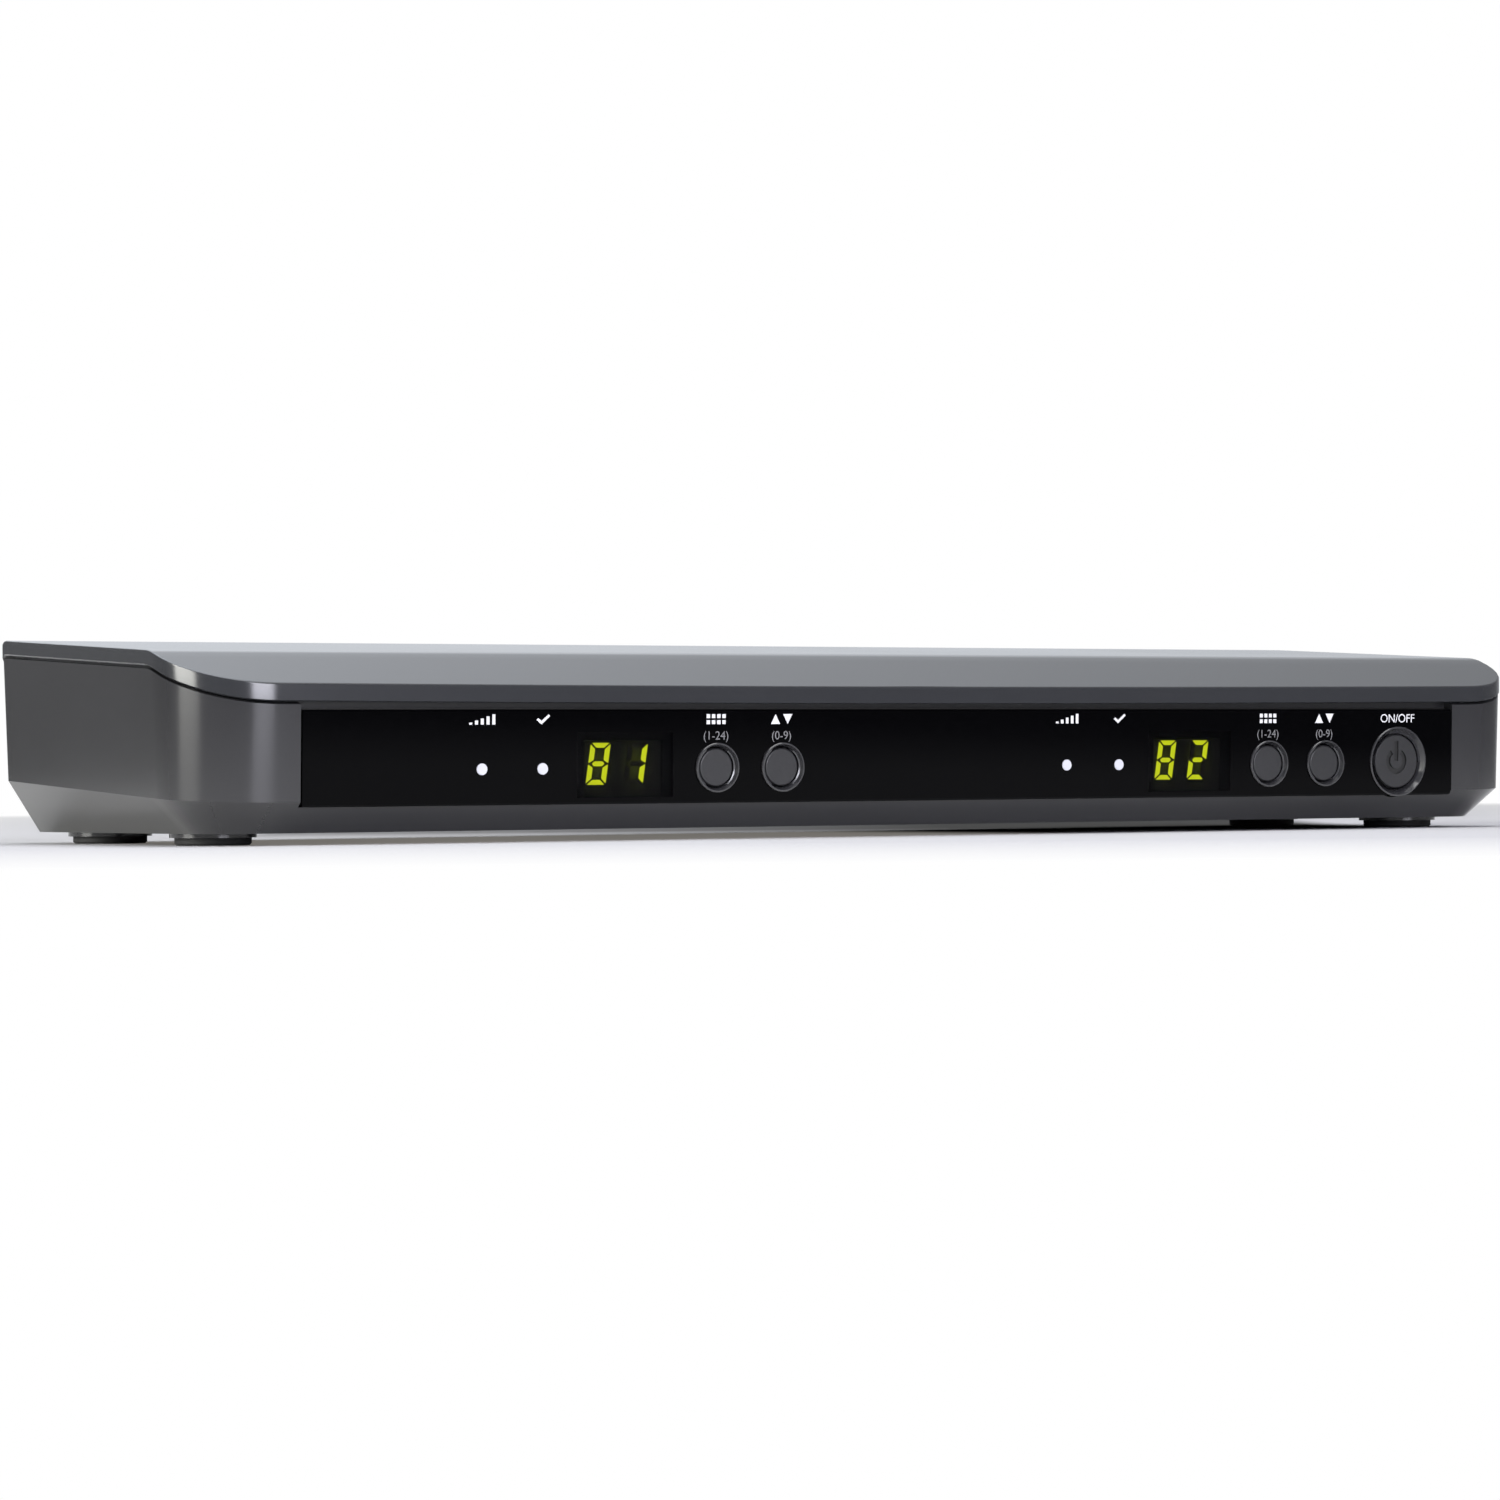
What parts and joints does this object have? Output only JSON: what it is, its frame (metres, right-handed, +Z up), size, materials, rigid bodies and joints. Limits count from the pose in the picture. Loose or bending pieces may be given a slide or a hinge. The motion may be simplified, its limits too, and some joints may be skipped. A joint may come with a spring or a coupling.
{
  "type": "wireless receiver unit",
  "caption": "Flat desktop wireless audio receiver: wedge-edged two-part case, glossy front with displays and push buttons, rear outputs.",
  "frame": {"origin": "middle of the case's outline, on the surface the feet stand on", "axes": "+X to the right along the front, +Y from front to back, +Z up"},
  "size_m": [0.388, 0.116, 0.0499],
  "materials": {
    "housing_plastic": "fine satin texture",
    "lid_paint": "satin, grey",
    "smoked_lens": "smoked, polished",
    "gloss_black": "polished",
    "button_plastic": "satin",
    "natural_plastic": "plain",
    "black_plastic": "plain",
    "light_pipe": "milky, clear",
    "led_clear": "clear",
    "display_body": "dark grey face",
    "segment_lit": "lit, yellow green",
    "segment_dark": "unlit",
    "circuit_board": "green solder mask",
    "zinc_screw": "zinc",
    "black_screw": "black oxide",
    "ribbon": "grey sleeve",
    "tinned_steel": "tinned",
    "antenna_brass": "plain",
    "capacitor_sleeve": "sleeved",
    "nickel_shell": "nickel",
    "silver_pin": "silver plated",
    "nut_black": "black",
    "foot_rubber": "matte"
  },
  "bodies": {
    "housing": {"bottom_housing": "housing_plastic", "top_cover": "lid_paint", "front_lens": "smoked_lens", "front_bezel": "gloss_black", "tact_switches": "black_plastic", "power_switch": "black_plastic", "light_pipes": "light_pipe", "status_leds": "led_clear", "display_module_1": "display_body", "display_module_2": "display_body", "lit_segments": "segment_lit", "dark_segments": "segment_dark", "control_board": "circuit_board", "control_board_screws": "zinc_screw", "main_board": "circuit_board", "main_board_screws": "zinc_screw", "board_headers": "natural_plastic", "ribbon_cable": "ribbon", "rf_shield_1": "tinned_steel", "rf_shield_2": "tinned_steel", "antenna_left": "antenna_brass", "antenna_right": "antenna_brass", "capacitors": "capacitor_sleeve", "audio_chips": "black_plastic", "xlr_shell_1": "nickel_shell", "xlr_shell_2": "nickel_shell", "xlr_insert_1": "black_plastic", "xlr_insert_2": "black_plastic", "xlr_pins_1": "silver_pin", "xlr_pins_2": "silver_pin", "jack_1": "black_plastic", "jack_2": "black_plastic", "jack_nuts": "nut_black", "dc_inlet": "black_plastic", "dc_pin": "silver_pin", "rubber_feet": "foot_rubber", "case_screws": "black_screw"},
    "group_button_1": {"group_button_1": "button_plastic", "group_plunger_1": "natural_plastic"},
    "channel_button_1": {"channel_button_1": "button_plastic", "channel_plunger_1": "natural_plastic"},
    "group_button_2": {"group_button_2": "button_plastic", "group_plunger_2": "natural_plastic"},
    "channel_button_2": {"channel_button_2": "button_plastic", "channel_plunger_2": "natural_plastic"},
    "power_button": {"power_button": "button_plastic", "power_plunger": "natural_plastic"}
  },
  "joints": [
    {"name": "group_button_1_press", "type": "slide", "parent": "housing", "child": "group_button_1", "axis": [0, 0.9994, 0.0337], "range_m": [0, 0.0008], "stiffness_N_per_m": 1500, "springref_m": -0.0005},
    {"name": "channel_button_1_press", "type": "slide", "parent": "housing", "child": "channel_button_1", "axis": [0, 0.9994, 0.0337], "range_m": [0, 0.0008], "stiffness_N_per_m": 1500, "springref_m": -0.0005},
    {"name": "group_button_2_press", "type": "slide", "parent": "housing", "child": "group_button_2", "axis": [0, 0.9994, 0.0337], "range_m": [0, 0.0008], "stiffness_N_per_m": 1500, "springref_m": -0.0005},
    {"name": "channel_button_2_press", "type": "slide", "parent": "housing", "child": "channel_button_2", "axis": [0, 0.9994, 0.0337], "range_m": [0, 0.0008], "stiffness_N_per_m": 1500, "springref_m": -0.0005},
    {"name": "power_button_press", "type": "slide", "parent": "housing", "child": "power_button", "axis": [0, 0.9994, 0.0337], "range_m": [0, 0.0025], "stiffness_N_per_m": 600, "springref_m": -0.0005}
  ]
}
